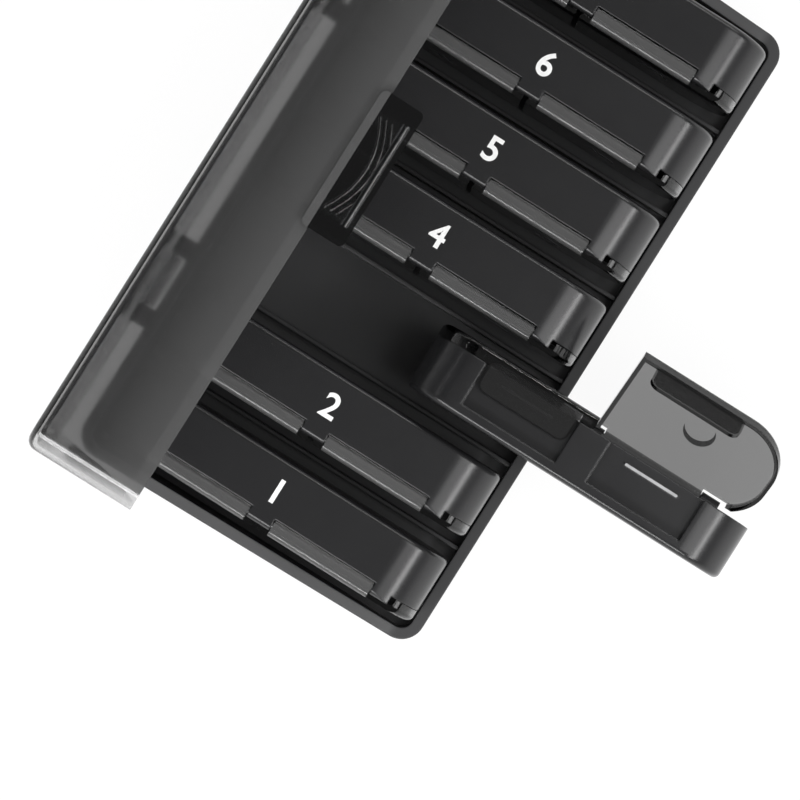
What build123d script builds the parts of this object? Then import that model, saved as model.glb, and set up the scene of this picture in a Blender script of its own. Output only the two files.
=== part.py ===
# Weekly pill organizer: a tray with seven lift-out day boxes under a hinged cover.
# X runs along a day box, Y along the row of boxes, Z up from the table. Millimetres.
# The third box is shown taken out, turned over and laid across the front wall of the tray.
from build123d import *
import os

# Day box
DAY_COUNT = 7
BOX_LENGTH = 106.0
BOX_DEPTH = 21.5
BOX_HEIGHT = 35.0
BOX_END_RADIUS = 15.0
BOX_WALL = 1.5
BOX_BASE = 4.0
BOX_BACK_ROUND = 1.8

# Flap that closes one half of a day box: a shallow cap
FLAP_DEPTH = 4.0
FLAP_THICKNESS = 1.8
FLAP_WALL = 1.3
FLAP_SEAT_GAP = 0.2
FLAP_MIDDLE_GAP = 1.6
FLAP_EDGE_ROUND = 1.8
PROFILE_MARGIN = 0.3
PIVOT_INSET = 3.2
BARREL_RADIUS = 1.7
BARREL_START = 4.2
BARREL_GAP = 0.3
PIN_RADIUS = 0.8
PIN_CLEARANCE = 0.05
PIN_LENGTH = 1.6
PIN_END_GAP = 0.3
EAR_WIDTH = 6.0
EAR_DEPTH = 2.5
FLAP_TOP_RELIEF = 2.0

# Latch tongue on the free edge of a flap, and the recess that takes it
TONGUE_LENGTH = 12.0
TONGUE_WIDTH = 30.0
TONGUE_THICKNESS = 1.2
TONGUE_SINK = 0.7
TONGUE_CORNER = 3.0
TONGUE_SIDE_GAP = 0.8
RECESS_DEPTH = 2.6
RECESS_BACK_RIM = 3.6
CATCH_LENGTH = 18.0
CATCH_WIDTH = 0.9
CATCH_HEIGHT = 0.5
CATCH_INSET = 7.4

# Tray
BAY_PITCH = 29.1
BAY_END_GAP = 1.0
SEAT_GAP = 0.3
TRAY_WALL = 2.2
TRAY_FLOOR = 2.0
TRAY_HEIGHT = 38.0
FRONT_HEIGHT = 10.0
FRONT_LEDGE = 7.0
BACK_LEDGE = 6.0
SLOPE_ROUND = 9.0
TRAY_CORNER = 6.0
RIM_WIDTH = 1.2
RIM_HEIGHT = 2.4
DIVIDER_WIDTH = 1.2
DIVIDER_HEIGHT = 6.0

# Cover
COVER_THICKNESS = 1.8
COVER_WALL = 1.6
COVER_GAP = 0.4
COVER_HEADROOM = 2.0
COVER_EDGE_ROUND = 3.0
TAB_LENGTH = 40.0
TAB_DEPTH = 10.0
TAB_ROOT = 2.5
TAB_THICKNESS = 1.4
TAB_OVERLAP = 0.5
TAB_CORNER = 1.6
TAB_GRIP_RADIUS = 1.1
TAB_GRIP_LENGTH = 30.0
HOOK_LENGTH = 30.0
HOOK_DEPTH = 0.8
HOOK_HEIGHT = 1.2

# Cover hinge
HINGE_OFFSET_X = 3.6
HINGE_PIN_RADIUS = 1.0
HINGE_KNUCKLE_RADIUS = 2.6
HINGE_SPACING_SHARE = 0.51
HINGE_KNUCKLE_LENGTH = 16.0
HINGE_EAR_LENGTH = 6.0
HINGE_END_GAP = 0.4

# How the set is laid out
COVER_OPEN = 87.0
TAKEN_DAY = 3
TAKEN_SHIFT_X = 68.0
TAKEN_FLAP_OPEN = 50.0
OVERRUN = 5.0
FAR_OVERRUN = 40.0

# Sizes that follow from the ones above
half_length = BOX_LENGTH / 2
face_y = -BOX_DEPTH / 2
open_y = face_y + FLAP_DEPTH + FLAP_SEAT_GAP
back_y = BOX_DEPTH / 2
pivot_y = face_y + PIVOT_INSET
pivot_z = BOX_HEIGHT - BARREL_RADIUS
barrel_end = half_length - BOX_END_RADIUS - PIN_END_GAP
inner_width = BOX_LENGTH + 2 * BAY_END_GAP
inner_length = DAY_COUNT * BAY_PITCH
tray_width = inner_width + 2 * TRAY_WALL
tray_length = inner_length + 2 * TRAY_WALL
rim_half_width = tray_width / 2 + RIM_WIDTH
rim_half_length = tray_length / 2 + RIM_WIDTH
hinge_centre = HINGE_SPACING_SHARE * inner_length / 2
cover_low = TRAY_HEIGHT + COVER_GAP
cover_top = cover_low + COVER_HEADROOM + COVER_THICKNESS
hinge_x = -rim_half_width - HINGE_OFFSET_X
hinge_z = TRAY_HEIGHT
seat_z = TRAY_FLOOR + SEAT_GAP
tongue_centre = (BARREL_START + barrel_end) / 2
DAY_NAMES = ["day_1", "day_2", "day_3", "day_4", "day_5", "day_6", "day_7"]


def span(x0, x1, y0, y1, z0, z1):
    """A block between two corners."""
    block = Box(x1 - x0, y1 - y0, z1 - z0)
    return Pos((x0 + x1) / 2, (y0 + y1) / 2, (z0 + z1) / 2) * block


def rod_x(radius, x0, x1, y, z):
    """A round bar along X."""
    bar = Cylinder(radius, x1 - x0, rotation=(0, 90, 0))
    return Pos((x0 + x1) / 2, y, z) * bar


def rod_y(radius, y0, y1, x, z):
    """A round bar along Y."""
    bar = Cylinder(radius, y1 - y0, rotation=(90, 0, 0))
    return Pos(x, (y0 + y1) / 2, z) * bar


def side_profile(inset, base, y0, y1):
    """The rounded side outline of a day box, drawn in from its outer wall, as a slab across Y."""
    top = BOX_HEIGHT - inset
    radius = min(BOX_END_RADIUS - inset, (top - base) / 2 - PROFILE_MARGIN)
    outline = RectangleRounded(BOX_LENGTH - 2 * inset, top - base, radius)
    slab = extrude(Plane.XZ * outline, amount=-(y1 - y0))
    return Pos(0, y0, (top + base) / 2) * slab


def hinge_ear(x0, x1):
    """A rounded ear on the top edge of a day box that takes the stub pins of the flaps."""
    ear = rod_x(BARREL_RADIUS, x0, x1, pivot_y, pivot_z)
    return ear + span(x0, x1, pivot_y, open_y + EAR_DEPTH, pivot_z - BARREL_RADIUS, BOX_HEIGHT)


def box_shell():
    """One day box: two pill compartments in a shell that is open on its flap side."""
    shell = side_profile(0, 0, open_y, back_y)
    shell = fillet(shell.faces().sort_by(Axis.Y)[-1].edges(), BOX_BACK_ROUND)
    hollow = side_profile(BOX_WALL, BOX_BASE, open_y - OVERRUN, back_y - BOX_WALL)
    hollow -= span(-BOX_WALL / 2, BOX_WALL / 2, open_y, back_y, 0, BOX_HEIGHT)
    shell -= hollow
    ear_near = barrel_end + PIN_END_GAP
    ears = hinge_ear(PIN_END_GAP - BARREL_START, BARREL_START - PIN_END_GAP)
    ears += hinge_ear(-ear_near - EAR_WIDTH, -ear_near)
    ears += hinge_ear(ear_near, ear_near + EAR_WIDTH)
    shell += ears & side_profile(0, 0, face_y, back_y)
    for side in (-1, 1):
        near = side * (BARREL_START - PIN_END_GAP)
        far = side * (barrel_end + PIN_END_GAP)
        channel_back = pivot_y + BARREL_RADIUS + BARREL_GAP
        channel_floor = pivot_z - BARREL_RADIUS - BARREL_GAP
        shell -= span(
            min(near, far), max(near, far), open_y - OVERRUN, channel_back, channel_floor, BOX_HEIGHT + OVERRUN
        )
        hole_start = side * (BARREL_START - PIN_LENGTH - PIN_END_GAP)
        hole_end = side * (barrel_end + PIN_LENGTH + PIN_END_GAP)
        shell -= rod_x(
            PIN_RADIUS + PIN_CLEARANCE, min(hole_start, hole_end), max(hole_start, hole_end), pivot_y, pivot_z
        )
        recess_near = side * (tongue_centre - TONGUE_WIDTH / 2 - TONGUE_SIDE_GAP)
        recess_far = side * (tongue_centre + TONGUE_WIDTH / 2 + TONGUE_SIDE_GAP)
        shell -= span(
            min(recess_near, recess_far), max(recess_near, recess_far), open_y - OVERRUN,
            back_y - RECESS_BACK_RIM, -OVERRUN, RECESS_DEPTH,
        )
        catch_y = face_y + CATCH_INSET
        shell += span(
            side * tongue_centre - CATCH_LENGTH / 2, side * tongue_centre + CATCH_LENGTH / 2,
            catch_y - CATCH_WIDTH / 2, catch_y + CATCH_WIDTH / 2, RECESS_DEPTH - CATCH_HEIGHT, RECESS_DEPTH,
        )
    return shell


def box_flap(side):
    """The clear flap over one half of a day box, with its hinge barrel, stub pins and latch tongue."""
    cap = side_profile(0, 0, face_y, face_y + FLAP_DEPTH)
    cap = fillet(cap.faces().sort_by(Axis.Y)[0].edges(), FLAP_EDGE_ROUND)
    keep_near = FLAP_MIDDLE_GAP / 2
    pocket = side_profile(FLAP_WALL, FLAP_WALL, face_y + FLAP_THICKNESS, back_y)
    cap -= pocket & span(keep_near + FLAP_WALL, BOX_LENGTH, face_y, back_y, 0, BOX_HEIGHT)
    ear_floor = pivot_z - FLAP_TOP_RELIEF
    keep = span(keep_near, half_length + OVERRUN, -BOX_DEPTH, BOX_DEPTH, -OVERRUN, ear_floor)
    keep += span(BARREL_START, barrel_end, -BOX_DEPTH, BOX_DEPTH, -OVERRUN, BOX_HEIGHT + OVERRUN)
    cap &= keep
    barrel = rod_x(BARREL_RADIUS, BARREL_START, barrel_end, pivot_y, pivot_z)
    pins = rod_x(PIN_RADIUS, BARREL_START - PIN_LENGTH, barrel_end + PIN_LENGTH, pivot_y, pivot_z)
    tongue_outline = RectangleRounded(TONGUE_WIDTH, 2 * TONGUE_LENGTH, TONGUE_CORNER)
    tongue = extrude(Plane.XY * tongue_outline, amount=TONGUE_THICKNESS)
    tongue = Pos(tongue_centre, face_y, TONGUE_SINK) * tongue
    tongue &= span(0, BOX_LENGTH, face_y + FLAP_EDGE_ROUND, back_y, 0, BOX_HEIGHT)
    flap = cap + barrel + pins + tongue
    if side < 0:
        flap = mirror(flap, Plane.YZ)
    return flap


def swing(shape, axis, degrees):
    """Turn a piece about a hinge line."""
    return shape.rotate(axis, degrees)


def below_joint_line(lift):
    """All that lies under the line where tray and cover meet: high at the back, low at the front."""
    far_x = rim_half_width + FAR_OVERRUN
    front = FRONT_HEIGHT + lift
    back = TRAY_HEIGHT + lift
    outline = FilletPolyline(
        (-far_x, -FAR_OVERRUN), (far_x, -FAR_OVERRUN), (far_x, front),
        (rim_half_width - FRONT_LEDGE, front), (BACK_LEDGE - rim_half_width, back), (-far_x, back),
        radius=SLOPE_ROUND, close=True,
    )
    return extrude(Plane.XZ * make_face(outline), amount=tray_length, both=True)


def tray():
    """The case: floor, walls that slope down to the front, rim, bay dividers and cover hinge ears."""
    outer = extrude(RectangleRounded(tray_width, tray_length, TRAY_CORNER), amount=TRAY_HEIGHT)
    rim_outline = RectangleRounded(2 * rim_half_width, 2 * rim_half_length, TRAY_CORNER + RIM_WIDTH)
    rim = extrude(rim_outline, amount=TRAY_HEIGHT) - below_joint_line(-RIM_HEIGHT)
    inner_outline = RectangleRounded(inner_width, inner_length, TRAY_CORNER - TRAY_WALL)
    inner = Pos(0, 0, TRAY_FLOOR) * extrude(inner_outline, amount=TRAY_HEIGHT)
    body = (outer + rim) & below_joint_line(0)
    body -= inner
    for index in range(1, DAY_COUNT):
        y = -inner_length / 2 + index * BAY_PITCH
        body += span(
            -inner_width / 2, inner_width / 2, y - DIVIDER_WIDTH / 2, y + DIVIDER_WIDTH / 2,
            TRAY_FLOOR, TRAY_FLOOR + DIVIDER_HEIGHT,
        )
    for centre in (-hinge_centre, hinge_centre):
        for side in (-1, 1):
            near = centre + side * (HINGE_KNUCKLE_LENGTH / 2 + HINGE_END_GAP)
            far = near + side * HINGE_EAR_LENGTH
            low, high = min(near, far), max(near, far)
            ear = rod_y(HINGE_KNUCKLE_RADIUS, low, high, hinge_x, hinge_z)
            ear += span(
                hinge_x, -tray_width / 2, low, high, hinge_z - HINGE_KNUCKLE_RADIUS, hinge_z,
            )
            ear -= rod_y(HINGE_PIN_RADIUS, low - OVERRUN, high + OVERRUN, hinge_x, hinge_z)
            body += ear
    return body


def hinge_pin(centre):
    """A steel pin through one of the two cover hinges."""
    reach = HINGE_KNUCKLE_LENGTH / 2 + HINGE_END_GAP + HINGE_EAR_LENGTH
    return rod_y(HINGE_PIN_RADIUS, centre - reach, centre + reach, hinge_x, hinge_z)


def cover():
    """The smoky clear cover, built closed: rounded top, deep front and side walls, tab and knuckles."""
    corner = TRAY_CORNER + RIM_WIDTH
    outline = RectangleRounded(2 * rim_half_width, 2 * rim_half_length, corner)
    shell = extrude(outline, amount=cover_top)
    shell = fillet(shell.faces().sort_by(Axis.Z)[-1].edges(), COVER_EDGE_ROUND)
    room_outline = RectangleRounded(
        2 * (rim_half_width - COVER_WALL), 2 * (rim_half_length - COVER_WALL), corner - COVER_WALL
    )
    room = extrude(room_outline, amount=cover_top - COVER_THICKNESS)
    room = fillet(room.faces().sort_by(Axis.Z)[-1].edges(), COVER_EDGE_ROUND - COVER_WALL)
    shell -= room
    shell -= below_joint_line(COVER_GAP)
    front_low = FRONT_HEIGHT + COVER_GAP
    tab_x = rim_half_width + COVER_GAP
    tab_height = TAB_DEPTH + TAB_ROOT
    tab = extrude(Plane.YZ * RectangleRounded(TAB_LENGTH, tab_height, TAB_CORNER), amount=TAB_THICKNESS)
    tab = Pos(tab_x, 0, front_low - TAB_DEPTH + tab_height / 2) * tab
    tab += span(
        rim_half_width - TAB_OVERLAP, tab_x + TAB_OVERLAP, TAB_CORNER - TAB_LENGTH / 2,
        TAB_LENGTH / 2 - TAB_CORNER, front_low, front_low + TAB_ROOT,
    )
    grip_z = front_low - TAB_DEPTH + TAB_GRIP_RADIUS + TAB_THICKNESS
    grip = rod_y(
        TAB_GRIP_RADIUS, -TAB_GRIP_LENGTH / 2, TAB_GRIP_LENGTH / 2, tab_x + TAB_THICKNESS, grip_z
    )
    hook_z = FRONT_HEIGHT - RIM_HEIGHT - COVER_GAP
    hook = span(
        tab_x - HOOK_DEPTH, tab_x + TAB_OVERLAP, -HOOK_LENGTH / 2, HOOK_LENGTH / 2, hook_z - HOOK_HEIGHT, hook_z
    )
    body = shell + tab + grip + hook
    for centre in (-hinge_centre, hinge_centre):
        low, high = centre - HINGE_KNUCKLE_LENGTH / 2, centre + HINGE_KNUCKLE_LENGTH / 2
        knuckle = rod_y(HINGE_KNUCKLE_RADIUS, low, high, hinge_x, hinge_z)
        knuckle += span(
            hinge_x, COVER_WALL - rim_half_width, low, high, cover_low, hinge_z + HINGE_KNUCKLE_RADIUS
        )
        knuckle -= rod_y(
            HINGE_PIN_RADIUS + PIN_CLEARANCE, low - OVERRUN, high + OVERRUN, hinge_x, hinge_z
        )
        body += knuckle
    return body


def bay_centre(index):
    """The middle of a bay along the tray, counted from one."""
    return -inner_length / 2 + index * BAY_PITCH - BAY_PITCH / 2


def day_place(index):
    """Where a day box sits: in its bay, or turned over on the front wall."""
    if index == TAKEN_DAY:
        turned = Rotation(180, 0, 0)
        return Pos(TAKEN_SHIFT_X, bay_centre(index), FRONT_HEIGHT + SEAT_GAP + BOX_HEIGHT) * turned
    return Pos(0, bay_centre(index), seat_z)


def build():
    """Every piece in its place, by node name."""
    pieces = {"tray": tray()}
    for name, centre in (("hinge_pin_front", -hinge_centre), ("hinge_pin_rear", hinge_centre)):
        pieces[name] = hinge_pin(centre)
    cover_axis = Axis((hinge_x, 0, hinge_z), (0, 1, 0))
    pieces["cover"] = swing(cover(), cover_axis, -COVER_OPEN)
    shell = box_shell()
    flaps = {"am": box_flap(-1), "pm": box_flap(1)}
    flap_axis = Axis((0, pivot_y, pivot_z), (-1, 0, 0))
    for index in range(1, DAY_COUNT + 1):
        place = day_place(index)
        name = DAY_NAMES[index - 1]
        pieces[name + "_box"] = place * shell
        for half, flap in flaps.items():
            taken_open = index == TAKEN_DAY and half == "pm"
            piece = swing(flap, flap_axis, TAKEN_FLAP_OPEN) if taken_open else flap
            pieces[name + "_flap_" + half] = place * piece
    return pieces


os.makedirs("parts", exist_ok=True)
for node, piece in build().items():
    export_step(piece, "parts/" + node + ".step")
    print(node, round(piece.volume, 1), len(piece.solids()))
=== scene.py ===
import bpy
import bmesh
import math
from mathutils import Matrix, Vector


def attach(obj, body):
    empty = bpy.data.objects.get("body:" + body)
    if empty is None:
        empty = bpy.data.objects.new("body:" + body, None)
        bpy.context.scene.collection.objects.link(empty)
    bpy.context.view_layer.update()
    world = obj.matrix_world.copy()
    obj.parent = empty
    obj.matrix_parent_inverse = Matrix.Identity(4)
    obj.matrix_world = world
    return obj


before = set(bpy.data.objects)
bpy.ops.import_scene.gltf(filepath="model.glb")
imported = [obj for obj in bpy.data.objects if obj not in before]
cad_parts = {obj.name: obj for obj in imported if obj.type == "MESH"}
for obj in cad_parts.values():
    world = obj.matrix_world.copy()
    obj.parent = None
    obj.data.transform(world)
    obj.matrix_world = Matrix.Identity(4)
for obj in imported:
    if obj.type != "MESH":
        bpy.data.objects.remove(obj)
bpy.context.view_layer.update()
scene = bpy.context.scene
MM = 0.001

# The tray: a black case moulded in one piece from ABS, with a floor, low ribs between the bays
# and walls that slope from the hinge down to the front. Its tool was spark eroded, so it is satin.
GRIT = 0.7 * MM
TRAY_GRIT_DEPTH = 0.05 * MM
HANDLING_PATCH = 26 * MM
EDGE_ROUND = 0.7 * MM
EDGE_SAMPLES = 8
ABS_IOR = 1.53


def linear(hex_colour):
    """An sRGB hex colour as linear red, green, blue and full alpha."""
    channels = [int(hex_colour[i:i + 2], 16) / 255 for i in (1, 3, 5)]
    return [c / 12.92 if c <= 0.04045 else ((c + 0.055) / 1.055) ** 2.4 for c in channels] + [1.0]


def add(tree, kind, settings=None, **links):
    """Adds a node, sets its properties and socket values, and links its inputs.

    A link goes to the input of its name, and one called i0, i1 and so on to the input of that number.
    """
    node = tree.nodes.new(kind)
    for key, value in (settings or {}).items():
        if isinstance(key, int) or key in node.inputs:
            node.inputs[key].default_value = value
        else:
            setattr(node, key, value)
    for key, source in links.items():
        numbered = key[0] == "i" and key[1:].isdigit()
        target = node.inputs[int(key[1:]) if numbered else key.replace("_", " ")]
        tree.links.new(source, target)
    return node


def start_material(name):
    """A new material, with its node tree and its shader."""
    material = bpy.data.materials.new(name)
    material.use_nodes = True
    return material, material.node_tree, material.node_tree.nodes["Principled BSDF"]


def dress(node_name, material):
    """Gives one of the solids its material."""
    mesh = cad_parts[node_name].data
    mesh.materials.clear()
    mesh.materials.append(material)


# ABS from a spark-eroded tool: a soft, broken shine. The grit is about 0.3 mm, drawn at 0.7 mm
# because finer grit than that is smaller than a pixel.
abs_tray, tree, shader = start_material("abs_black_spark_eroded")
shader.inputs["Base Color"].default_value = linear("#373738")
shader.inputs["IOR"].default_value = ABS_IOR
shader.inputs["Specular IOR Level"].default_value = 0.42
place = add(tree, "ShaderNodeTexCoord")
grit = add(
    tree, "ShaderNodeTexNoise", {"Scale": 1 / GRIT, "Detail": 3.0, "Roughness": 0.6},
    Vector=place.outputs["Object"],
)
handling = add(
    tree, "ShaderNodeTexNoise", {"Scale": 1 / HANDLING_PATCH, "Detail": 4.0}, Vector=place.outputs["Object"],
)
roughness_map = add(
    tree, "ShaderNodeMapRange", {"From Min": 0.3, "From Max": 0.7, "To Min": 0.36, "To Max": 0.48},
    Value=handling.outputs["Fac"],
)
worn_edge = add(tree, "ShaderNodeBevel", {"samples": EDGE_SAMPLES, "Radius": EDGE_ROUND})
relief = add(
    tree, "ShaderNodeBump", {"Strength": 0.12, "Distance": TRAY_GRIT_DEPTH},
    Height=grit.outputs["Fac"], Normal=worn_edge.outputs["Normal"],
)
tree.links.new(roughness_map.outputs["Result"], shader.inputs["Roughness"])
tree.links.new(relief.outputs["Normal"], shader.inputs["Normal"])
dress("tray", abs_tray)

# The hinge pins: two drawn steel pins pressed into the ears on the back wall. Drawing leaves
# fine lines along the pin.
DRAWN_LINE_WIDTH = 0.2 * MM
DRAWN_LINE_LENGTH = 9 * MM
drawn_steel, tree, shader = start_material("steel_drawn")
shader.inputs["Base Color"].default_value = linear("#b9b9bb")
shader.inputs["Metallic"].default_value = 1.0
place = add(tree, "ShaderNodeTexCoord")
stretch = add(
    tree, "ShaderNodeMapping",
    {"Scale": (1 / DRAWN_LINE_WIDTH, 1 / DRAWN_LINE_LENGTH, 1 / DRAWN_LINE_WIDTH)},
    Vector=place.outputs["Object"],
)
lines = add(tree, "ShaderNodeTexNoise", {"Scale": 1.0, "Detail": 2.0}, Vector=stretch.outputs["Vector"])
drawn = add(tree, "ShaderNodeMapRange", {"To Min": 0.22, "To Max": 0.42}, Value=lines.outputs["Fac"])
tree.links.new(drawn.outputs["Result"], shader.inputs["Roughness"])
for name in ("hinge_pin_front", "hinge_pin_rear"):
    dress(name, drawn_steel)

# The day boxes: seven black ABS shells with two compartments each. They come from a polished
# tool, so the rounded ends carry long soft reflections, with a faint moulded skin and rub marks.
DAYS = 7
PITCH = 29.1 * MM
BOX_DEPTH = 21.5 * MM
BOX_HEIGHT = 35 * MM
SEAT = 2.3 * MM
TAKEN = 3
TAKEN_REACH = 68 * MM
TAKEN_REST = 10.3 * MM
RUB_PATCH = 14 * MM
SKIN_GRAIN = 0.9 * MM
SKIN_DEPTH = 0.03 * MM
abs_box, tree, shader = start_material("abs_black_polished")
shader.inputs["Base Color"].default_value = linear("#1f1f20")
shader.inputs["IOR"].default_value = ABS_IOR
shader.inputs["Specular IOR Level"].default_value = 0.5
place = add(tree, "ShaderNodeTexCoord")
rubbed = add(
    tree, "ShaderNodeTexNoise", {"Scale": 1 / RUB_PATCH, "Detail": 5.0, "Roughness": 0.6},
    Vector=place.outputs["Object"],
)
shine = add(
    tree, "ShaderNodeMapRange", {"From Min": 0.3, "From Max": 0.7, "To Min": 0.22, "To Max": 0.26},
    Value=rubbed.outputs["Fac"],
)
skin = add(
    tree, "ShaderNodeTexNoise", {"Scale": 1 / SKIN_GRAIN, "Detail": 2.0}, Vector=place.outputs["Object"],
)
worn_edge = add(tree, "ShaderNodeBevel", {"samples": EDGE_SAMPLES, "Radius": EDGE_ROUND})
relief = add(
    tree, "ShaderNodeBump", {"Strength": 0.05, "Distance": SKIN_DEPTH},
    Height=skin.outputs["Fac"], Normal=worn_edge.outputs["Normal"],
)
tree.links.new(shine.outputs["Result"], shader.inputs["Roughness"])
tree.links.new(relief.outputs["Normal"], shader.inputs["Normal"])
box_places = {}
for day in range(1, DAYS + 1):
    dress("day_%d_box" % day, abs_box)
    bay = (day - (DAYS + 1) / 2) * PITCH
    box_places[day] = Matrix.Translation((0, bay, SEAT))
# One box lies turned over across the front wall, level with its own bay.
taken_bay = (TAKEN - (DAYS + 1) / 2) * PITCH
turned_over = Matrix.Rotation(math.pi, 4, "X")
box_places[TAKEN] = Matrix.Translation((TAKEN_REACH, taken_bay, TAKEN_REST + BOX_HEIGHT)) @ turned_over

# The numerals: plain white figures, pad printed on the label face of each box. The ink stands
# a few hundredths of a millimetre proud and is a little uneven.
FIGURE_HEIGHT = 10.5 * MM
FIGURE_MIDDLE = 1.6 * MM
INK_PROUD = 0.04 * MM
INK_SPREAD = 0.19 * MM
INK_PATCH = 1.2 * MM
ink_white, tree, shader = start_material("ink_white_pad_printed")
shader.inputs["Roughness"].default_value = 0.55
place = add(tree, "ShaderNodeTexCoord")
coverage = add(
    tree, "ShaderNodeTexNoise", {"Scale": 1 / INK_PATCH, "Detail": 3.0}, Vector=place.outputs["Object"],
)
tone = add(tree, "ShaderNodeValToRGB", Fac=coverage.outputs["Fac"])
tone.color_ramp.elements[0].color = linear("#d9d9d8")
tone.color_ramp.elements[1].color = linear("#f6f6f5")
tree.links.new(tone.outputs["Color"], shader.inputs["Base Color"])


def mesh_of(holder):
    """The plain mesh that a text, a curve or a modifier gives; its holder is removed."""
    scene.collection.objects.link(holder)
    mesh = bpy.data.meshes.new_from_object(holder.evaluated_get(bpy.context.evaluated_depsgraph_get()))
    bpy.data.objects.remove(holder)
    return mesh


for day in range(1, DAYS + 1):
    text = bpy.data.curves.new("figure_%d" % day, "FONT")
    text.body = str(day)
    text.size = FIGURE_HEIGHT
    text.align_x = "CENTER"
    text.align_y = "CENTER"
    text.extrude = INK_PROUD
    text.offset = INK_SPREAD
    text.resolution_u = 8
    mesh = mesh_of(bpy.data.objects.new("figure_holder", text))
    heights = [v.co.y for v in mesh.vertices]
    middle_y = (max(heights) + min(heights)) / 2
    label = Matrix.Translation((0, FIGURE_MIDDLE - middle_y, BOX_HEIGHT + INK_PROUD / 2))
    mesh.transform(box_places[day] @ label)
    mesh.materials.clear()
    mesh.materials.append(ink_white)
    figure = bpy.data.objects.new("day_%d_figure" % day, mesh)
    scene.collection.objects.link(figure)
    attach(figure, "day_%d" % day)

# The flaps: two to a box, moulded from smoke-tinted SAN with a polished tool, so they are clear
# and glossy. Each hangs on stub pins in the ears of its box and wraps a latch tongue under it.
SIDES = {"am": -1, "pm": 1}
BOX_FACE = -BOX_DEPTH / 2
PIVOT_INSET = 3.2 * MM
BARREL_RADIUS = 1.7 * MM
FLAP_PIVOT = Vector((0, BOX_FACE + PIVOT_INSET, BOX_HEIGHT - BARREL_RADIUS))
FLAP_OPEN = math.radians(-50)
SAN_IOR = 1.57
SMOKE_TINT = linear("#b4b4b4")
SMOKE_PER_MM = 0.28
HAZE_PATCH = 9 * MM
BARREL_LOW = SEAT + 31.4 * MM
# Painted sheen: the barrel of a seated flap is less clear and rougher, so it shows as a grey bar.
SHEEN_BAR_ROUGHNESS = 0.2
SHEEN_BAR_CLEAR = 0.87
ABOVE_ALL = 1.0
RIM_START = BOX_FACE + 1.95 * MM
flap_hinge = Matrix.Translation(FLAP_PIVOT)
swung_open = flap_hinge @ Matrix.Rotation(FLAP_OPEN, 4, "X") @ flap_hinge.inverted()
flap_places = {(day, half): box_places[day] for day in range(1, DAYS + 1) for half in SIDES}
flap_places[TAKEN, "pm"] = box_places[TAKEN] @ swung_open

# Polished SAN: clear glass to the eye, darker the more of it light passes through. Its shadow is
# a plain grey tint, so that no bright specks of bent light fall behind it.
san_smoke, tree, shader = start_material("san_smoke_polished")
shader.inputs["Base Color"].default_value = SMOKE_TINT
shader.inputs["IOR"].default_value = SAN_IOR
shader.inputs["Specular IOR Level"].default_value = 0.3
place = add(tree, "ShaderNodeTexCoord")
haze = add(
    tree, "ShaderNodeTexNoise", {"Scale": 1 / HAZE_PATCH, "Detail": 4.0}, Vector=place.outputs["Object"],
)
clear = add(
    tree, "ShaderNodeMapRange", {"From Min": 0.3, "From Max": 0.7, "To Min": 0.01, "To Max": 0.05},
    Value=haze.outputs["Fac"],
)
# The barrel of a seated flap shows as a soft grey bar, which is a painted sheen: less of it is clear, so the
# grey tint shows, and it is rougher.
split = add(tree, "ShaderNodeSeparateXYZ", Vector=place.outputs["Object"])
barrel = add(
    tree, "ShaderNodeMath", {"name": "barrel", "operation": "GREATER_THAN", 1: BARREL_LOW},
    i0=split.outputs["Z"],
)
roughness_map = add(
    tree, "ShaderNodeMapRange", {"To Min": 0.0, "To Max": SHEEN_BAR_ROUGHNESS}, Value=barrel.outputs["Value"],
)
finish = add(
    tree, "ShaderNodeMath", {"operation": "ADD"}, i0=clear.outputs["Result"], i1=roughness_map.outputs["Result"],
)
see_through = add(
    tree, "ShaderNodeMapRange", {"To Min": 1.0, "To Max": SHEEN_BAR_CLEAR}, Value=barrel.outputs["Value"],
)
tree.links.new(finish.outputs["Value"], shader.inputs["Roughness"])
tree.links.new(see_through.outputs["Result"], shader.inputs["Transmission Weight"])
smoke = add(
    tree, "ShaderNodeVolumeAbsorption", {"Color": linear("#2c2c2c"), "Density": SMOKE_PER_MM / MM},
)
passed = add(tree, "ShaderNodeBsdfTransparent", {"Color": linear("#bcbcbd")})
path = add(tree, "ShaderNodeLightPath")
pane = add(
    tree, "ShaderNodeMixShader", Fac=path.outputs["Is Shadow Ray"],
    i1=shader.outputs["BSDF"], i2=passed.outputs["BSDF"],
)
result = tree.nodes["Material Output"]
tree.links.new(pane.outputs["Shader"], result.inputs["Surface"])
tree.links.new(smoke.outputs["Volume"], result.inputs["Volume"])

# The flaps of the taken box lie elsewhere, and their barrels face away from the soft box, so they get no
# painted sheen and are clear all over.
san_smoke_out = san_smoke.copy()
san_smoke_out.name = "san_smoke_polished_clear"
san_smoke_out.node_tree.nodes["barrel"].inputs[1].default_value = ABOVE_ALL

# The rim of the open flap is seen along its whole depth, so it looks darker than the plate. Depth
# into the flap is the second row of the matrix that takes the flap back to its seated place.
into_flap = flap_places[TAKEN, "pm"].inverted()[1]
san_smoke_rim = san_smoke_out.copy()
san_smoke_rim.name = "san_smoke_polished_deep_rim"
tree = san_smoke_rim.node_tree
depth = add(
    tree, "ShaderNodeVectorMath", {"operation": "DOT_PRODUCT", 1: into_flap[:3]},
    i0=tree.nodes["Texture Coordinate"].outputs["Object"],
)
rim = add(
    tree, "ShaderNodeMath", {"operation": "GREATER_THAN", 1: RIM_START - into_flap[3]},
    i0=depth.outputs["Value"],
)
rim_tone = add(
    tree, "ShaderNodeMix", {"data_type": "RGBA", 6: SMOKE_TINT, 7: linear("#4a4a4a")},
    i0=rim.outputs["Value"],
)
tree.links.new(rim_tone.outputs[2], tree.nodes["Principled BSDF"].inputs["Base Color"])

taken_finish = {(TAKEN, "am"): san_smoke_out, (TAKEN, "pm"): san_smoke_rim}
for day, half in flap_places:
    dress("day_%d_flap_%s" % (day, half), taken_finish.get((day, half), san_smoke))

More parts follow.
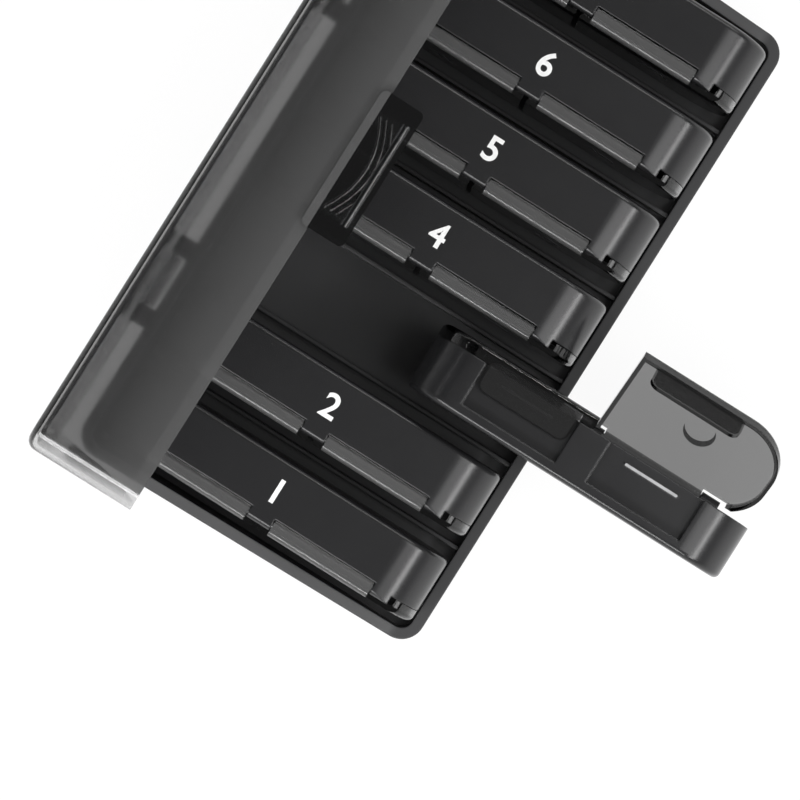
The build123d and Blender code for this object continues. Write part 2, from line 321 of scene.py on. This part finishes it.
# The finger pads: the outside of each latch tongue is spark eroded for grip, so it looks darker
# and duller than the clear flap around it. The grit is drawn as coarse as the tray's.
TONGUE_MIDDLE = 20.95 * MM
TONGUE_OUTSIDE = 0.7 * MM
PAD_WIDTH = 28.8 * MM
PAD_NEAR = BOX_FACE + 2.2 * MM
PAD_FAR = BOX_FACE + 11.5 * MM
PAD_CORNER = 2.5 * MM
PAD_PROUD = 0.1 * MM
PAD_GAP = PAD_PROUD / 10
PAD_GRIT_DEPTH = 0.04 * MM
CORNER_STEPS = 8
pad_finish, tree, shader = start_material("san_smoke_spark_eroded")
shader.inputs["Base Color"].default_value = linear("#1c1c1c")
shader.inputs["Specular IOR Level"].default_value = 0.3
shader.inputs["Alpha"].default_value = 0.42
place = add(tree, "ShaderNodeTexCoord")
grit = add(tree, "ShaderNodeTexNoise", {"Scale": 1 / GRIT, "Detail": 3.0}, Vector=place.outputs["Object"])
dull = add(tree, "ShaderNodeMapRange", {"To Min": 0.4, "To Max": 0.6}, Value=grit.outputs["Fac"])
relief = add(
    tree, "ShaderNodeBump", {"Strength": 0.2, "Distance": PAD_GRIT_DEPTH}, Height=grit.outputs["Fac"],
)
tree.links.new(dull.outputs["Result"], shader.inputs["Roughness"])
tree.links.new(relief.outputs["Normal"], shader.inputs["Normal"])


def thicken(form, height, name):
    """Raises the flat faces of a form to a height, and returns the closed mesh."""
    raised = bmesh.ops.extrude_face_region(form, geom=form.faces[:])
    points = [v for v in raised["geom"] if isinstance(v, bmesh.types.BMVert)]
    bmesh.ops.translate(form, vec=(0, 0, height), verts=points)
    bmesh.ops.recalc_face_normals(form, faces=form.faces[:])
    mesh = bpy.data.meshes.new(name)
    form.to_mesh(mesh)
    form.free()
    return mesh


def rounded_slab(low, high, corner, bottom, top):
    """A flat slab with four round corners, as a mesh."""
    form = bmesh.new()
    outline = []
    for middle_x, middle_y, start in (
        (high[0] - corner, high[1] - corner, 0), (low[0] + corner, high[1] - corner, 1),
        (low[0] + corner, low[1] + corner, 2), (high[0] - corner, low[1] + corner, 3),
    ):
        for step in range(CORNER_STEPS + 1):
            angle = math.pi / 2 * (start + step / CORNER_STEPS)
            outline.append((middle_x + corner * math.cos(angle), middle_y + corner * math.sin(angle)))
    form.faces.new([form.verts.new((x, y, bottom)) for x, y in outline])
    return thicken(form, top - bottom, "slab")


for day, half in flap_places:
    middle = SIDES[half] * TONGUE_MIDDLE
    mesh = rounded_slab(
        (middle - PAD_WIDTH / 2, PAD_NEAR), (middle + PAD_WIDTH / 2, PAD_FAR), PAD_CORNER,
        TONGUE_OUTSIDE - PAD_PROUD, TONGUE_OUTSIDE - PAD_GAP,
    )
    mesh.transform(flap_places[day, half])
    mesh.materials.append(pad_finish)
    pad = bpy.data.objects.new("day_%d_tongue_pad_%s" % (day, half), mesh)
    scene.collection.objects.link(pad)
    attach(pad, "day_%d_%s" % (day, half))

# The catch ribs: each is moulded in the recess under a compartment, and the tongue snaps over it.
# A light grey strip along the crest is a painted glint, brighter in some places than in others.
CATCH_LENGTH = 17.6 * MM
CATCH_WIDTH = 0.8 * MM
CATCH_Y = BOX_FACE + 7.4 * MM
CATCH_CREST = 2.1 * MM
CATCH_END = CATCH_WIDTH / 2.1
# Painted glint: a light grey strip stands on the crest of each catch rib.
GLINT_PROUD = 0.06 * MM
GLINT_GAP = GLINT_PROUD / 10
GLINT_PATCH = 3 * MM
painted_glint_abs, tree, shader = start_material("abs_painted_glint")
shader.inputs["Roughness"].default_value = 0.5
place = add(tree, "ShaderNodeTexCoord")
patchy = add(
    tree, "ShaderNodeTexNoise", {"Scale": 1 / GLINT_PATCH, "Detail": 4.0}, Vector=place.outputs["Object"],
)
tone = add(tree, "ShaderNodeValToRGB", Fac=patchy.outputs["Fac"])
tone.color_ramp.elements[0].color = linear("#7f7f80")
tone.color_ramp.elements[1].color = linear("#b9b9ba")
tree.links.new(tone.outputs["Color"], shader.inputs["Base Color"])
for day, half in flap_places:
    middle = SIDES[half] * TONGUE_MIDDLE
    mesh = rounded_slab(
        (middle - CATCH_LENGTH / 2, CATCH_Y - CATCH_WIDTH / 2),
        (middle + CATCH_LENGTH / 2, CATCH_Y + CATCH_WIDTH / 2),
        CATCH_END, CATCH_CREST - GLINT_PROUD, CATCH_CREST - GLINT_GAP,
    )
    mesh.transform(box_places[day])
    mesh.materials.append(painted_glint_abs)
    crest = bpy.data.objects.new("day_%d_catch_wear_%s" % (day, half), mesh)
    scene.collection.objects.link(crest)
    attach(crest, "day_%d" % day)

# The sun and crescent marks: a sun on each morning flap and a crescent on each evening flap,
# printed in thin dark grey ink on the outside of the flap.
MARK_REACH = 27 * MM
MARK_HEIGHT = 15 * MM
MARK_PROUD = 0.05 * MM
SPECK = 0.8 * MM
SUN_RADIUS = 2.1 * MM
RAY_COUNT = 8
RAY_RING = 3.9 * MM
RAY_LENGTH = 1.9 * MM
RAY_WIDTH = 0.75 * MM
CRESCENT_RADIUS = 5.0 * MM
CRESCENT_CUT = 4.7 * MM
CRESCENT_SHIFT = 1.7 * MM
CRESCENT_STEPS = 36
CRESCENT_LEAN = math.radians(-110)
ink_grey, tree, shader = start_material("ink_grey_pad_printed")
shader.inputs["Roughness"].default_value = 0.5
shader.inputs["Alpha"].default_value = 0.6
place = add(tree, "ShaderNodeTexCoord")
speck = add(tree, "ShaderNodeTexNoise", {"Scale": 1 / SPECK, "Detail": 2.0}, Vector=place.outputs["Object"])
tone = add(tree, "ShaderNodeValToRGB", Fac=speck.outputs["Fac"])
tone.color_ramp.elements[0].color = linear("#4c4c4f")
tone.color_ramp.elements[1].color = linear("#5c5c60")
tree.links.new(tone.outputs["Color"], shader.inputs["Base Color"])

# The sun is a disc in a ring of straight rays that point outwards.
sun_tree = bpy.data.node_groups.new("sun_mark", "GeometryNodeTree")
sun_tree.interface.new_socket("Rays", in_out="INPUT", socket_type="NodeSocketInt")
for name in ("Ring", "Ray length", "Ray width", "Disc", "Proud"):
    sun_tree.interface.new_socket(name, in_out="INPUT", socket_type="NodeSocketFloat")
sun_tree.interface.new_socket("Ink", in_out="INPUT", socket_type="NodeSocketMaterial")
sun_tree.interface.new_socket("Mark", in_out="OUTPUT", socket_type="NodeSocketGeometry")
sizes = add(sun_tree, "NodeGroupInput")
ring = add(
    sun_tree, "GeometryNodeMeshCircle", Vertices=sizes.outputs["Rays"], Radius=sizes.outputs["Ring"],
)
ray_size = add(
    sun_tree, "ShaderNodeCombineXYZ", X=sizes.outputs["Ray length"], Y=sizes.outputs["Ray width"],
    Z=sizes.outputs["Proud"],
)
ray = add(sun_tree, "GeometryNodeMeshCube", Size=ray_size.outputs["Vector"])
outwards = add(sun_tree, "GeometryNodeInputPosition")
turn = add(
    sun_tree, "FunctionNodeAlignRotationToVector", {"axis": "X", "pivot_axis": "Z"},
    Vector=outwards.outputs["Position"],
)
rays = add(
    sun_tree, "GeometryNodeInstanceOnPoints", Points=ring.outputs["Mesh"], Instance=ray.outputs["Mesh"],
    Rotation=turn.outputs["Rotation"],
)
disc = add(
    sun_tree, "GeometryNodeMeshCylinder", {"Vertices": 40}, Radius=sizes.outputs["Disc"],
    Depth=sizes.outputs["Proud"],
)
both = add(sun_tree, "GeometryNodeJoinGeometry")
sun_tree.links.new(rays.outputs["Instances"], both.inputs["Geometry"])
sun_tree.links.new(disc.outputs["Mesh"], both.inputs["Geometry"])
real = add(sun_tree, "GeometryNodeRealizeInstances", Geometry=both.outputs["Geometry"])
inked = add(
    sun_tree, "GeometryNodeSetMaterial", Geometry=real.outputs["Geometry"], Material=sizes.outputs["Ink"],
)
add(sun_tree, "NodeGroupOutput", Mark=inked.outputs["Geometry"])
sun_holder = bpy.data.objects.new("sun_holder", bpy.data.meshes.new("sun_holder"))
modifier = sun_holder.modifiers.new("sun_mark", "NODES")
modifier.node_group = sun_tree
values = {
    "Rays": RAY_COUNT, "Ring": RAY_RING, "Ray length": RAY_LENGTH, "Ray width": RAY_WIDTH,
    "Disc": SUN_RADIUS, "Proud": MARK_PROUD, "Ink": ink_grey,
}
for item in sun_tree.interface.items_tree:
    if item.in_out == "INPUT":
        modifier[item.identifier] = values[item.name]
sun_mesh = mesh_of(sun_holder)


def long_arc(middle_x, radius, start):
    """Points the long way round a circle, from an angle to the same angle below the X axis."""
    angles = [
        start + (2 * math.pi - 2 * start) * step / CRESCENT_STEPS for step in range(CRESCENT_STEPS + 1)
    ]
    return [(middle_x + radius * math.cos(a), radius * math.sin(a), -MARK_PROUD / 2) for a in angles]


# The crescent is what a second disc leaves of the first, drawn as a strip between two arcs that
# share their ends.
tip = math.acos(
    (CRESCENT_RADIUS ** 2 + CRESCENT_SHIFT ** 2 - CRESCENT_CUT ** 2) / (2 * CRESCENT_RADIUS * CRESCENT_SHIFT)
)
cut_tip = math.atan2(CRESCENT_RADIUS * math.sin(tip), CRESCENT_RADIUS * math.cos(tip) - CRESCENT_SHIFT)
form = bmesh.new()
outer = [form.verts.new(point) for point in long_arc(0, CRESCENT_RADIUS, tip)]
hollow = [form.verts.new(point) for point in long_arc(CRESCENT_SHIFT, CRESCENT_CUT, cut_tip)[1:-1]]
inner = [outer[0]] + hollow + [outer[-1]]
for i in range(CRESCENT_STEPS):
    corners = [outer[i], outer[i + 1], inner[i + 1], inner[i]]
    form.faces.new(list(dict.fromkeys(corners)))
crescent_mesh = thicken(form, MARK_PROUD, "crescent")
crescent_mesh.materials.append(ink_grey)
marks = {"am": (sun_mesh, 0.0), "pm": (crescent_mesh, CRESCENT_LEAN)}
upright = Matrix.Rotation(math.pi / 2, 4, "X")
for day, half in flap_places:
    pattern, lean = marks[half]
    mesh = pattern.copy()
    spot = Matrix.Translation((SIDES[half] * MARK_REACH, BOX_FACE - MARK_PROUD / 4, MARK_HEIGHT))
    mesh.transform(flap_places[day, half] @ spot @ upright @ Matrix.Rotation(lean, 4, "Z"))
    mark = bpy.data.objects.new("day_%d_mark_%s" % (day, half), mesh)
    scene.collection.objects.link(mark)
    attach(mark, "day_%d_%s" % (day, half))

# The cover: one deep lid of smoke-tinted SAN that stands open on the two hinges. Its tool is finely blasted,
# so what lies behind it looks soft and a little milky; the milky haze grows towards the free edge, partly as
# a painted sheen.
# The latch tab at the front is polished and darker, and a pale strip along its free edge is a painted
# highlight.
TAB_EDGE = -27.4 * MM
TAB_HALF = 20.3 * MM
TAB_POLISH = 0.3
ROUND_EDGE = -62 * MM
ROUND_FADE = 5 * MM
END_WALL = 101 * MM
# Painted sheen: the milky haze of the cover grows towards its free edge.
FROST_AND_SHEEN_START = -58 * MM
FROST_AND_SHEEN_MOST = 0.3
# Painted highlight: a pale strip along the free edge of the cover.
EDGE_HIGHLIGHT_WIDTH = 3.2 * MM
EDGE_HIGHLIGHT_FROST = 0.05
BLAST_PATCH = 11 * MM
san_haze, tree, shader = start_material("san_smoke_blasted")
shader.inputs["IOR"].default_value = SAN_IOR
place = add(tree, "ShaderNodeTexCoord")
split = add(tree, "ShaderNodeSeparateXYZ", Vector=place.outputs["Object"])
from_middle = add(tree, "ShaderNodeMath", {"operation": "ABSOLUTE"}, i0=split.outputs["Y"])
past_edge = add(tree, "ShaderNodeMath", {"operation": "GREATER_THAN", 1: TAB_EDGE}, i0=split.outputs["X"])
by_tab = add(tree, "ShaderNodeMath", {"operation": "LESS_THAN", 1: TAB_HALF}, i0=from_middle.outputs["Value"])
on_tab = add(
    tree, "ShaderNodeMath", {"operation": "MULTIPLY"},
    i0=past_edge.outputs["Value"], i1=by_tab.outputs["Value"],
)
# The tint is lighter on the rounded edge and the end walls, and darkest on the tab.
by_round = add(
    tree, "ShaderNodeMapRange",
    {"From Min": ROUND_EDGE, "From Max": ROUND_EDGE + ROUND_FADE, "To Min": 1.0, "To Max": 0.0},
    Value=split.outputs["X"],
)
by_end = add(
    tree, "ShaderNodeMath", {"operation": "GREATER_THAN", 1: END_WALL}, i0=from_middle.outputs["Value"],
)
lighter_tint = add(
    tree, "ShaderNodeMath", {"operation": "MAXIMUM"},
    i0=by_round.outputs["Result"], i1=by_end.outputs["Value"],
)
wall_tone = add(
    tree, "ShaderNodeMix", {"data_type": "RGBA", 6: linear("#747474"), 7: linear("#cfcfcf")},
    i0=lighter_tint.outputs["Value"],
)
tone = add(
    tree, "ShaderNodeMix", {"data_type": "RGBA", 7: linear("#3a3a3c")},
    i0=on_tab.outputs["Value"], i6=wall_tone.outputs[2],
)
tree.links.new(tone.outputs[2], shader.inputs["Base Color"])
# The haze grows towards the free edge, partly frosting and partly a painted sheen, with a step in the strip
# of painted highlight along the free edge. The tab has none.
frost_and_sheen = add(
    tree, "ShaderNodeMapRange",
    {"From Min": FROST_AND_SHEEN_START, "From Max": TAB_EDGE, "To Min": 1.0, "To Max": 1.0 - FROST_AND_SHEEN_MOST},
    Value=split.outputs["X"],
)
painted_edge_highlight = add(
    tree, "ShaderNodeMath", {"operation": "GREATER_THAN", 1: TAB_EDGE - EDGE_HIGHLIGHT_WIDTH}, i0=split.outputs["X"],
)
painted_edge_highlight_frost = add(tree, "ShaderNodeMath", {"operation": "MULTIPLY", 1: EDGE_HIGHLIGHT_FROST}, i0=painted_edge_highlight.outputs["Value"])
wall_clear = add(
    tree, "ShaderNodeMath", {"operation": "SUBTRACT"},
    i0=frost_and_sheen.outputs["Result"], i1=painted_edge_highlight_frost.outputs["Value"],
)
all_clear = add(
    tree, "ShaderNodeMath", {"operation": "MAXIMUM"},
    i0=wall_clear.outputs["Value"], i1=on_tab.outputs["Value"],
)
tree.links.new(all_clear.outputs["Value"], shader.inputs["Transmission Weight"])
blast = add(
    tree, "ShaderNodeTexNoise", {"Scale": 1 / BLAST_PATCH, "Detail": 5.0}, Vector=place.outputs["Object"],
)
soft = add(
    tree, "ShaderNodeMapRange", {"From Min": 0.3, "From Max": 0.7, "To Min": 0.05, "To Max": 0.09},
    Value=blast.outputs["Fac"],
)
polish = add(tree, "ShaderNodeMapRange", {"To Min": 1.0, "To Max": TAB_POLISH}, Value=on_tab.outputs["Value"])
gloss = add(
    tree, "ShaderNodeMath", {"operation": "MULTIPLY"},
    i0=soft.outputs["Result"], i1=polish.outputs["Result"],
)
tree.links.new(gloss.outputs["Value"], shader.inputs["Roughness"])
dress("cover", san_haze)

# The finger grip on the latch tab: three curved ridges moulded with the tab, each a half-sunk rod
# that bows towards the free edge, so a thumb finds it.
RIDGES = 3
RIDGE_HALF = 13.5 * MM
RIDGE_BOW = 4.2 * MM
RIDGE_RADIUS = 0.55 * MM
RIDGE_START = -26.6 * MM
RIDGE_STEP = 1.7 * MM
RIDGE_POINTS = 9
TAB_SURFACE = 156.72 * MM
TAB_SLOPE = math.tan(math.radians(3))
TAB_BACK = -29.64 * MM
for ridge in range(RIDGES):
    rod = bpy.data.curves.new("ridge", "CURVE")
    rod.dimensions = "3D"
    rod.bevel_depth = RIDGE_RADIUS
    rod.bevel_resolution = 4
    rod.resolution_u = 6
    rod.use_fill_caps = True
    line = rod.splines.new("NURBS")
    line.points.add(RIDGE_POINTS - 1)
    for step, point in enumerate(line.points):
        along = 2 * step / (RIDGE_POINTS - 1) - 1
        x = RIDGE_START + ridge * RIDGE_STEP + RIDGE_BOW * (1 - along ** 2)
        point.co = (x, along * RIDGE_HALF, TAB_SURFACE - (x - TAB_BACK) * TAB_SLOPE, 1)
    line.order_u = 3
    line.use_endpoint_u = True
    mesh = mesh_of(bpy.data.objects.new("ridge_holder", rod))
    mesh.materials.clear()
    mesh.materials.append(san_haze)
    for face in mesh.polygons:
        face.use_smooth = True
    grip = bpy.data.objects.new("cover_grip_ridge_%d" % (ridge + 1), mesh)
    scene.collection.objects.link(grip)
    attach(grip, "cover")

# The floor: a plain white sheet of paper under the organizer. It shows white to the camera and
# keeps a faint shadow.
FLOOR_HALF = 3.0
FLOOR_LEVEL = -0.2 * MM
GLOW = 1.02
GLOW_SHARE = 0.9


def background_rays(tree):
    """A socket that is one for rays from the camera, off gloss or through glass, and else zero."""
    path = add(tree, "ShaderNodeLightPath")
    seen = add(
        tree, "ShaderNodeMath", {"operation": "MAXIMUM"},
        i0=path.outputs["Is Camera Ray"], i1=path.outputs["Is Glossy Ray"],
    )
    shown = add(
        tree, "ShaderNodeMath", {"operation": "MAXIMUM"},
        i0=seen.outputs["Value"], i1=path.outputs["Is Transmission Ray"],
    )
    return shown.outputs["Value"]


paper = bpy.data.materials.new("paper_white")
paper.use_nodes = True
tree = paper.node_tree
tree.nodes.clear()
lit = add(tree, "ShaderNodeBsdfDiffuse", {"Color": linear("#f4f4f4")})
glow = add(tree, "ShaderNodeEmission", {"Color": linear("#ffffff"), "Strength": GLOW})
share = add(tree, "ShaderNodeMath", {"operation": "MULTIPLY", 1: GLOW_SHARE}, i0=background_rays(tree))
mixed = add(
    tree, "ShaderNodeMixShader", Fac=share.outputs["Value"],
    i1=lit.outputs["BSDF"], i2=glow.outputs["Emission"],
)
add(tree, "ShaderNodeOutputMaterial", Surface=mixed.outputs["Shader"])
sheet = bpy.data.meshes.new("floor")
corners = [
    (-FLOOR_HALF, -FLOOR_HALF), (FLOOR_HALF, -FLOOR_HALF),
    (FLOOR_HALF, FLOOR_HALF), (-FLOOR_HALF, FLOOR_HALF),
]
sheet.from_pydata([(x, y, FLOOR_LEVEL) for x, y in corners], [], [(0, 1, 2, 3)])
sheet.materials.append(paper)
floor = bpy.data.objects.new("floor", sheet)
scene.collection.objects.link(floor)

# The studio: a white surround below a dim ceiling, so the flat tops stay black and the rounded
# ends and rolls catch light from long soft boxes at the sides.
AMBIENT = 0.55
CEILING = 0.18
world = bpy.data.worlds.new("studio")
scene.world = world
world.use_nodes = True
tree = world.node_tree
tree.nodes.clear()
aim = add(tree, "ShaderNodeTexCoord")
split = add(tree, "ShaderNodeSeparateXYZ", Vector=aim.outputs["Generated"])
ceiling = add(
    tree, "ShaderNodeMapRange", {"From Min": 0.05, "From Max": 0.4, "To Min": 1.0, "To Max": CEILING},
    Value=split.outputs["Z"],
)
power = add(
    tree, "ShaderNodeMix", {"data_type": "FLOAT", 2: AMBIENT},
    i0=background_rays(tree), i3=ceiling.outputs["Result"],
)
sky = add(tree, "ShaderNodeBackground", {"Color": linear("#ffffff")}, Strength=power.outputs[0])
add(tree, "ShaderNodeOutputWorld", Surface=sky.outputs["Background"])
CENTRE = Vector((0.02, 0, 0.03))
for name, spot, width, height, watts in (
    ("soft_box_front", (0.75, -0.15, 0.75), 0.9, 0.14, 4.4),
    ("soft_box_row", (-0.1, -0.78, 0.75), 1.1, 0.25, 8.5),
    ("soft_box_far", (0.1, 0.9, 0.7), 0.8, 0.14, 2.4),
    ("soft_box_top", (0.5, 0.1, 1.0), 0.5, 0.5, 2.0),
):
    lamp = bpy.data.lights.new(name, "AREA")
    lamp.shape = "RECTANGLE"
    lamp.size = width
    lamp.size_y = height
    lamp.energy = watts
    holder = bpy.data.objects.new(name, lamp)
    holder.location = spot
    holder.rotation_euler = (CENTRE - Vector(spot)).to_track_quat("-Z", "Y").to_euler()
    scene.collection.objects.link(holder)

# The camera: it looks straight down from about a metre, turned so that the boxes run to the lower
# right. Its place, turn and focal length were fitted to corners of the tray and the boxes.
CAMERA_SPOT = (0.0159, -0.0446, 1.0365)
CAMERA_TURN = math.radians(32.2)
FOCAL_PIXELS = 3472
IMAGE_PIXELS = 800
SENSOR_WIDTH = 36
lens = bpy.data.cameras.new("camera")
lens.sensor_width = SENSOR_WIDTH
lens.lens = FOCAL_PIXELS / IMAGE_PIXELS * SENSOR_WIDTH
lens.clip_start = 0.05
camera = bpy.data.objects.new("camera", lens)
camera.location = CAMERA_SPOT
camera.rotation_euler = (0, 0, CAMERA_TURN)
scene.collection.objects.link(camera)
scene.camera = camera
scene.view_settings.view_transform = "Standard"
